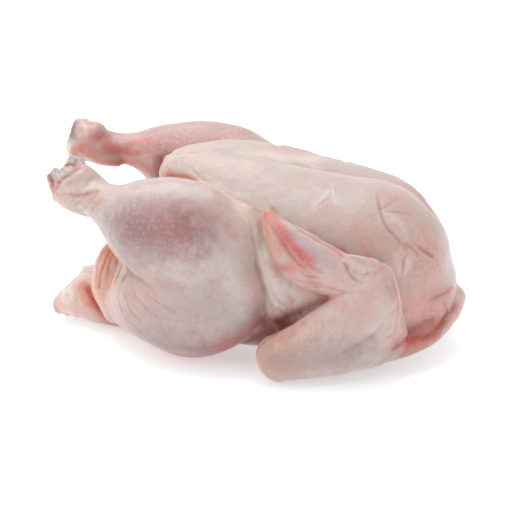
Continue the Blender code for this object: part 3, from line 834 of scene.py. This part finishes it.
# How uneven the tints' edges are: share, size in mm and random seed of the swells that bend them, and
# the reach in mm under which they are steadier.
EDGE_SWELLS = ((0.25, 14.0, 7), (0.12, 5.0, 8))
EDGE_RANGE = (0.4, 2)
STEADY_REACH = 10
# How far a tint is worked out, in reaches.
TINT_MARGIN = 2.5
# Painted shade in a crease: strength as a share of the row's own, and reach in widths.
CREASE_SHADE_STRENGTH = 0.75
CREASE_SHADE_REACH = 1.1
# How much painted shade darkens a crinkle towards the crease colour, for each mm of its depth.
CRINKLE_SHADE = 0.6


def blended(colours, share, name):
    """The colours with a share of each, one value a point, given over to a colour of the palette."""
    return colours + share[:, None] * (linear(PALETTE[name]) - colours)


def tinted(points, normals, colours):
    """Lays painted shade in the crinkles, every tint, and painted shade in the creases over the colours. A
    tint fades as a Gaussian of the distance from its path; slow swells make its edge uneven."""
    uneven = sum((share * waves(points, size, seed) for share, size, seed in EDGE_SWELLS), 1.0)
    uneven = np.clip(uneven, *EDGE_RANGE)
    half = points * mirror_of(points)
    rows = [(half, *row) for row in TINTS]
    rows += [(points, *row) for row in RIGHT_TINTS + LEFT_TINTS]
    # Painted shade along each fold, in the crease colour.
    for _, width, crease_shade, path in FOLDS:
        rows.append((half, "crevice", CREASE_SHADE_STRENGTH * crease_shade, CREASE_SHADE_REACH * width, path))
    # Painted shade in the crinkles.
    colours = blended(colours, CRINKLE_SHADE * crinkles(half), "crevice")
    for places, colour, strength, reach, path in rows:
        near, signed, _, _ = beside(places, normals, path, TINT_MARGIN * reach)
        edge = uneven[near] ** min(1.0, reach / STEADY_REACH)
        share = strength * np.exp(-((np.abs(signed) * edge / reach) ** 2))
        colours[near] = blended(colours[near], share, colour)
    return colours


def depth_below(mesh, points, normals, rounds):
    """How deep each point lies, in mm, under the mean of its surroundings: the points are averaged with
    their neighbours along the edges for some rounds, and the move is measured along the normal."""
    edges = np.empty(2 * len(mesh.edges), np.int32)
    mesh.edges.foreach_get("vertices", edges)
    here, there = np.vstack([edges.reshape(-1, 2), edges.reshape(-1, 2)[:, ::-1]]).T
    count = np.bincount(here, minlength=len(points))
    mean = points
    for _ in range(rounds):
        mean = np.stack([np.bincount(here, mean[there, axis], len(points)) / count for axis in range(3)], 1)
    return ((mean - points) * normals).sum(1)


colours = np.tile(linear(PALETTE["skin"]), (len(points), 1))
colours = tinted(points, normals, colours)

# Painted shade in the skin's hollows: it turns towards the crease colour over a depth of 1.2 mm, from 0.12
# mm on.
HOLLOW_ROUNDS = 12
HOLLOW_START = 0.12
HOLLOW_RANGE = 1.2
HOLLOW_SHADE = 0.45
depth = depth_below(skin.data, points, normals, HOLLOW_ROUNDS)
hollow = np.clip((depth - HOLLOW_START) / HOLLOW_RANGE, 0, 1)
colours = blended(colours, HOLLOW_SHADE * hollow, "crevice")

# Painted shade underneath, dark red, where the bird lies on the table: below 20 mm, where the skin faces
# down, not under the tail, and little in front of the middle.
SHADE_UNDER_TOP, SHADE_UNDER_RISE = 20, 12
SHADE_UNDER_BACK, SHADE_UNDER_FADE = -160, 20
SHADE_UNDER_MIDDLE, SHADE_UNDER_IN_FRONT = 60, 0.15
SHADE_UNDER_REDNESS = 0.55
x, z = points[:, 0], points[:, 2]
under = np.clip((SHADE_UNDER_TOP - z) / SHADE_UNDER_RISE, 0, 1) * np.clip(-normals[:, 2] * 2, 0, 1)
under *= np.clip((x - SHADE_UNDER_BACK) / SHADE_UNDER_FADE, 0, 1) * np.clip(-x / SHADE_UNDER_MIDDLE, SHADE_UNDER_IN_FRONT, 1)
colours = blended(colours, SHADE_UNDER_REDNESS * under, "meat")

# The share of the light that the skin gives back, which fits the tints to the lamps and the sky.
EXPOSED = 0.70
colours *= EXPOSED

# The drawn hollow is coloured dark red. It shows where the surface faces the middle line of the opening.
HOLLOW_REACH = 60
FACING_START, FACING_RANGE = 0.2, 0.3
MOUTH, MOUTH_FADE = -118, 12
DARKNESS = 0.85
hollow_line = np.array([ring[:3] for ring in OPENING], float) - (TABLE_MIDDLE, 0, SINK)
near = beside(points, normals, hollow_line, HOLLOW_REACH)[0]
inward = spline(hollow_line, PATH_STEPS)
nearest = inward[np.argmin(((points[near, None] - inward[None]) ** 2).sum(2), axis=1)]
facing = (unit(nearest - points[near]) * normals[near]).sum(1)
within = np.clip((points[near, 0] - MOUTH) / MOUTH_FADE, 0, 1)
inside = np.zeros(len(points))
inside[near] = np.clip((facing - FACING_START) / FACING_RANGE, 0, 1) * within
colours = blended(colours, DARKNESS * inside, "inside")

# Feather follicles stand out on the drumsticks and along the wings, and hardly on the breast. Each row
# gives how much, the reach in mm and the path in mm.
FOLLICLES_ELSEWHERE = 0.3
FEATHERED = [
    (1.0, 40, [(-120, -96, 150), (-80, -108, 140), (-40, -108, 128)]),
    (1.0, 30, [(-120, -58, 166), (-75, -64, 178), (-35, -72, 182)]),
    (0.5, 22, [(50, -134, 44), (80, -138, 60), (110, -130, 90)]),
]
follicles = np.full(len(points), FOLLICLES_ELSEWHERE)
half = points * mirror_of(points)
for strength, reach, path in FEATHERED:
    near, signed, _, _ = beside(half, normals, path, TINT_MARGIN * reach)
    follicles[near] = np.maximum(follicles[near], strength * np.exp(-((signed / reach) ** 2)))
follicles *= 1 - inside


def attribute(mesh, name, kind, values):
    """Stores one value a point on the mesh: a colour with alpha 1, or a plain number."""
    layer = mesh.attributes.new(name, kind, "POINT")
    if kind == "FLOAT_COLOR":
        values = np.hstack([values, np.ones((len(values), 1))])
    layer.data.foreach_set("color" if kind == "FLOAT_COLOR" else "value", values.astype(np.float32).ravel())


attribute(skin.data, "tint", "FLOAT_COLOR", np.clip(colours, 0, 1))
attribute(skin.data, "follicles", "FLOAT", follicles)

# Material: fresh plucked skin, wet from chilling. Light sinks a few millimetres in and comes back
# warm; the surface itself is a soft gloss, broken by follicles and by the fine grain of the skin.
# Real follicles stand about 3.5 mm apart and the real grain is about 0.5 mm: both are drawn coarser,
# so that they show. Mottle, flecks and wrinkles have their real size.
FOLLICLE_SPACING = 4.8 * mm
FOLLICLE_HEIGHT = 0.35 * mm
FOLLICLE_PALENESS = 0.12
FOLLICLE_COLOUR = "#f3e2dd"
GRAIN = 1.4 * mm
GRAIN_HEIGHT = 0.25 * mm
WRINKLE = 7.0 * mm
WRINKLE_HEIGHT = 0.9 * mm
MOTTLE = 12.0 * mm
FLECK = 3.2 * mm
LIGHT_REACH = 4.0 * mm

raw_skin = bpy.data.materials.new("raw_poultry_skin")
raw_skin.use_nodes = True
tree = raw_skin.node_tree
shader = tree.nodes["Principled BSDF"]


def node(tree, kind, settings=None, **inputs):
    """Adds a node with its settings, and sets or links its inputs; a name may be a socket's own name
    with underscores for spaces, and _0, _1 ... picks a socket by its number."""
    made = tree.nodes.new("ShaderNode" + kind)
    for name, value in (settings or {}).items():
        setattr(made, name, value)
    for name, value in inputs.items():
        socket = made.inputs[int(name[1:]) if name[1:].isdigit() else name.replace("_", " ")]
        if isinstance(value, bpy.types.NodeSocket):
            tree.links.new(value, socket)
        else:
            socket.default_value = value
    return made


place = node(tree, "TexCoord").outputs["Object"]
tint = node(tree, "Attribute", {"attribute_name": "tint"}).outputs["Color"]
follicle_share = node(tree, "Attribute", {"attribute_name": "follicles"}).outputs["Fac"]

# Blood under the skin takes green and blue out of the tint, in blotches and in finer flecks.
middle = {"From_Min": 0.3, "From_Max": 0.7}
mottle = node(tree, "TexNoise", Vector=place, Scale=1 / MOTTLE, Detail=4.0, Roughness=0.6).outputs["Fac"]
blotch = node(tree, "MapRange", Value=mottle, To_Min=0.90, To_Max=1.04, **middle).outputs[0]
fine = node(tree, "TexNoise", Vector=place, Scale=1 / FLECK, Detail=3.0).outputs["Fac"]
fleck = node(tree, "MapRange", Value=fine, To_Min=0.93, To_Max=1.06, **middle).outputs[0]
times = {"operation": "MULTIPLY"}
shade = node(tree, "Math", times, _0=blotch, _1=fleck).outputs[0]
warm = node(tree, "CombineColor", Red=1.0, Green=shade, Blue=shade).outputs[0]
mottled = node(tree, "MixRGB", {"blend_type": "MULTIPLY"}, Fac=1.0, Color1=tint, Color2=warm).outputs[0]

# A follicle is a pale dot with a soft edge, in one cell of a loose pattern each.
cells = node(tree, "TexVoronoi", Vector=place, Scale=1 / FOLLICLE_SPACING, Randomness=0.85)
cells = cells.outputs["Distance"]
soft = {"interpolation_type": "SMOOTHSTEP"}
bump_top = node(tree, "MapRange", soft, Value=cells, From_Min=0.62, From_Max=0.1).outputs[0]
dot = node(tree, "Math", times, _0=bump_top, _1=follicle_share).outputs[0]
dot_share = node(tree, "Math", times, _0=dot, _1=FOLLICLE_PALENESS).outputs[0]
pale = (*linear(FOLLICLE_COLOUR), 1.0)
dotted = node(tree, "MixRGB", Fac=dot_share, Color1=mottled, Color2=pale).outputs[0]

# Three reliefs lie over each other: the grain, soft wrinkles and the follicles.
grain = node(tree, "TexNoise", Vector=place, Scale=1 / GRAIN, Detail=2.0).outputs["Fac"]
wrinkle = node(tree, "TexNoise", Vector=place, Scale=1 / WRINKLE, Detail=3.0, Distortion=0.6).outputs["Fac"]
bump = node(tree, "Bump", Height=grain, Strength=0.35, Distance=GRAIN_HEIGHT).outputs[0]
bump = node(tree, "Bump", Height=wrinkle, Strength=0.5, Distance=WRINKLE_HEIGHT, Normal=bump).outputs[0]
bump = node(tree, "Bump", Height=dot, Strength=0.7, Distance=FOLLICLE_HEIGHT, Normal=bump).outputs[0]

roughness = node(tree, "MapRange", Value=mottle, To_Min=0.34, To_Max=0.52).outputs[0]
tree.links.new(dotted, shader.inputs["Base Color"])
tree.links.new(roughness, shader.inputs["Roughness"])
tree.links.new(bump, shader.inputs["Normal"])
for name, value in {
    "IOR": 1.42,
    "Subsurface Weight": 0.5,
    "Subsurface Radius": (1.0, 0.35, 0.22),
    "Subsurface Scale": LIGHT_REACH,
    "Coat Weight": 0.25,
    "Coat Roughness": 0.28,
}.items():
    shader.inputs[name].default_value = value

skin.data.materials.clear()
skin.data.materials.append(raw_skin)
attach(skin, "root")
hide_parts("turkey")

# --------------------
# The table and the light. A wide white board, matte and lit through a little, carries the bird under a
# white sky and two large soft lamps, one overhead and one at the tail end of its right side.
TABLE_HALF = 6.0
TABLE_DROP = 0.2 * mm
TABLE_GLOW = 0.38
SKY_STRENGTH = 0.8
WHITE = (1.0, 1.0, 1.0, 1.0)

sheet = bpy.data.meshes.new("white_table")
corners = [(-1, -1), (1, -1), (1, 1), (-1, 1)]
sheet.from_pydata([(x * TABLE_HALF, y * TABLE_HALF, -TABLE_DROP) for x, y in corners], [], [(0, 1, 2, 3)])
table = bpy.data.objects.new("white_table", sheet)
bpy.context.scene.collection.objects.link(table)
matte_white = bpy.data.materials.new("matte_white_board")
matte_white.use_nodes = True
board = matte_white.node_tree.nodes["Principled BSDF"]
for name, value in {
    "Base Color": (*linear("#eef6f8"), 1.0),
    "Roughness": 0.6,
    "Specular IOR Level": 0.2,
    "Emission Color": WHITE,
    "Emission Strength": TABLE_GLOW,
}.items():
    board.inputs[name].default_value = value
sheet.materials.append(matte_white)

world = bpy.data.worlds.new("studio")
bpy.context.scene.world = world
world.use_nodes = True
sky = world.node_tree.nodes["Background"]
sky.inputs["Color"].default_value = WHITE
sky.inputs["Strength"].default_value = SKY_STRENGTH


def lamp(name, place, size, watts):
    """A square soft lamp at a place, turned to the bird. Place and size are in metres."""
    light = bpy.data.objects.new(name, bpy.data.lights.new(name, "AREA"))
    light.data.shape = "SQUARE"
    light.data.size = size
    light.data.energy = watts
    light.location = place
    light.rotation_euler = (-Vector(place)).to_track_quat("-Z", "Y").to_euler()
    bpy.context.scene.collection.objects.link(light)


lamp("overhead", (-0.35, 0.25, 1.7), 1.6, 20.0)
lamp("front_left", (-1.1, -1.2, 1.1), 0.9, 5.0)
bpy.context.scene.view_settings.view_transform = "Standard"
